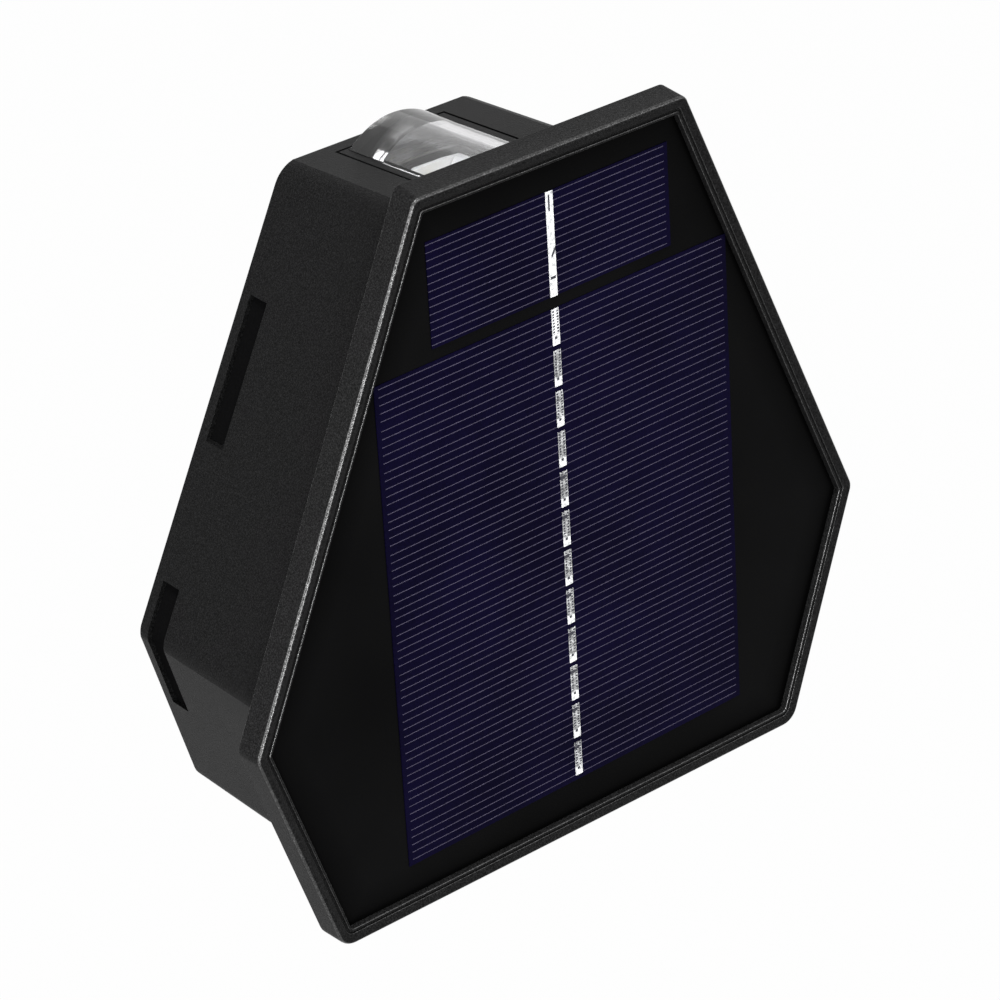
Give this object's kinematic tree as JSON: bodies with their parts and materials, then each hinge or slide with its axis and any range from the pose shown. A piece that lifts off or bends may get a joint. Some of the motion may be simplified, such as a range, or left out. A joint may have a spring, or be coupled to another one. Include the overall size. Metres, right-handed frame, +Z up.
{
  "type": "solar wall light",
  "caption": "Six-sided black solar wall light: framed solar panel on an inset housing, domed lenses above and below, light slots at the sides, hung on a wall bracket.",
  "frame": {"origin": "on the wall plane, midway between the wall bracket's two fixing holes", "axes": "+Z up, +Y into the wall so the front faces -Y, +X to the right seen from the front"},
  "size_m": [0.1574, 0.0521, 0.1518],
  "materials": {
    "black_plastic": "satin black with a fine even grain",
    "foam": "matt foam tape",
    "panel_black": "smooth black board under a clear film",
    "silicon_cell": "blue-black silicon with fine pale finger lines",
    "tinned_ribbon": "bright tinned copper",
    "red_wire": "insulated wire",
    "white_wire": "insulated wire",
    "screw_steel": "zinc plated",
    "seal": "matt silicone",
    "clear_lens": "clear polished plastic",
    "reflector_white": "white reflector",
    "board_white": "white solder resist",
    "board_green": "green solder resist",
    "led_yellow": "phosphor under clear resin",
    "smoked_guide": "dark unlit light guide",
    "part_dark": "moulded component",
    "tray_plastic": "plain moulded",
    "battery_wrap": "shrink sleeve",
    "contact_steel": "nickel plated",
    "button_rubber": "matt silicone cap",
    "bracket_paint": "black powder coat"
  },
  "bodies": {
    "bracket": {"wall_bracket": "bracket_paint"},
    "lamp": {"front_bezel": "black_plastic", "panel_tape": "foam", "panel_board": "panel_black", "upper_cell": "silicon_cell", "lower_cell": "silicon_cell", "cell_ribbon": "tinned_ribbon", "panel_leads": "red_wire", "bezel_screws": "screw_steel", "housing_gasket": "seal", "rear_housing": "black_plastic", "rear_cover": "black_plastic", "cover_gasket": "seal", "cover_screws": "screw_steel", "top_lens_frame": "black_plastic", "top_lens": "clear_lens", "top_lens_gasket": "seal", "top_reflector": "reflector_white", "top_led_board": "board_white", "top_leds": "led_yellow", "top_board_screws": "screw_steel", "top_leads": "red_wire", "bottom_lens_frame": "black_plastic", "bottom_lens": "clear_lens", "bottom_lens_gasket": "seal", "bottom_reflector": "reflector_white", "bottom_led_board": "board_white", "bottom_leds": "led_yellow", "bottom_board_screws": "screw_steel", "bottom_leads": "red_wire", "left_upper_guide": "smoked_guide", "left_lower_guide": "smoked_guide", "right_upper_guide": "smoked_guide", "right_lower_guide": "smoked_guide", "side_led_boards": "board_white", "side_leds": "led_yellow", "side_leads": "white_wire", "main_board": "board_green", "board_parts": "part_dark", "main_board_screws": "screw_steel", "battery_tray": "tray_plastic", "battery_cell": "battery_wrap", "battery_contacts": "contact_steel", "battery_leads": "red_wire", "mode_switch": "part_dark"},
    "button": {"mode_button": "button_rubber", "switch_plunger": "part_dark"}
  },
  "joints": [
    {"name": "lift_off", "type": "slide", "parent": "bracket", "child": "lamp", "axis": [0, 0, 1], "range_m": [0, 0.007]},
    {"name": "button_press", "type": "slide", "parent": "lamp", "child": "button", "axis": [0, -1, 0], "range_m": [0, 0.0008], "stiffness_N_per_m": 2000}
  ]
}
